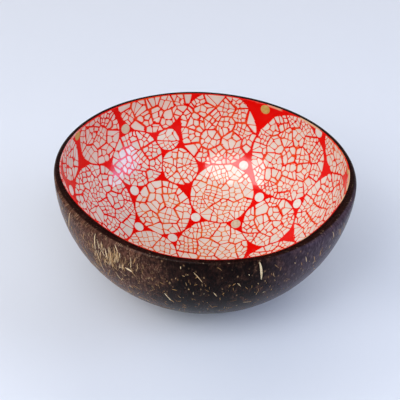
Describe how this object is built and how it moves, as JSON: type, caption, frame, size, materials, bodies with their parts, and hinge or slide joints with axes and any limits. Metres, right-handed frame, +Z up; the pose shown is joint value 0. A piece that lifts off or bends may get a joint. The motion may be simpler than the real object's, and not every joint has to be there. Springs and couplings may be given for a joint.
{
  "type": "eggshell lacquer bowl",
  "caption": "Round-bottomed bowl of half a coconut shell, lined with glossy red lacquer inlaid with round medallions and dots of crackled eggshell.",
  "frame": {"origin": "middle of the flat foot, on the surface that the bowl stands on", "axes": "+Z up along the bowl's axis, through the middle of the rim; -Y is the side nearest the viewer of the picture"},
  "size_m": [0.135, 0.135, 0.0615],
  "materials": {
    "coconut": "dark brown coconut shell with tan fibre flecks, polished",
    "ground": "dark lacquer ground, hidden",
    "red_lacquer": "red lacquer, high gloss",
    "eggshell": "crackled off-white eggshell under clear gloss",
    "white_shell": "off-white shell disc under clear gloss",
    "tan_shell": "tan shell disc under clear gloss",
    "ochre_shell": "ochre shell disc under clear gloss"
  },
  "bodies": {
    "root": {"coconut_shell": "coconut", "ground_coat": "ground", "red_lacquer": "red_lacquer", "medallion_01": "eggshell", "medallion_02": "eggshell", "medallion_03": "eggshell", "medallion_04": "eggshell", "medallion_05": "eggshell", "medallion_06": "eggshell", "medallion_07": "eggshell", "medallion_08": "eggshell", "medallion_09": "eggshell", "medallion_10": "eggshell", "medallion_11": "eggshell", "medallion_12": "eggshell", "medallion_13": "eggshell", "medallion_14": "eggshell", "medallion_15": "eggshell", "medallion_16": "eggshell", "medallion_17": "eggshell", "medallion_18": "eggshell", "medallion_19": "eggshell", "medallion_20": "eggshell", "medallion_21": "eggshell", "medallion_22": "eggshell", "medallion_23": "eggshell", "medallion_24": "eggshell", "medallion_25": "eggshell", "medallion_26": "eggshell", "medallion_27": "eggshell", "medallion_28": "eggshell", "medallion_29": "eggshell", "medallion_30": "eggshell", "medallion_31": "eggshell", "medallion_32": "eggshell", "medallion_33": "eggshell", "dot_01": "ochre_shell", "dot_02": "tan_shell", "dot_03": "white_shell", "dot_04": "white_shell", "dot_05": "white_shell", "dot_06": "white_shell", "dot_07": "tan_shell", "dot_08": "white_shell", "dot_09": "white_shell", "dot_10": "white_shell", "dot_11": "ochre_shell", "dot_12": "white_shell", "dot_13": "ochre_shell", "dot_14": "white_shell", "dot_15": "white_shell", "dot_16": "tan_shell", "dot_17": "white_shell", "dot_18": "white_shell", "dot_19": "ochre_shell", "dot_20": "white_shell", "dot_21": "tan_shell"}
  },
  "joints": []
}
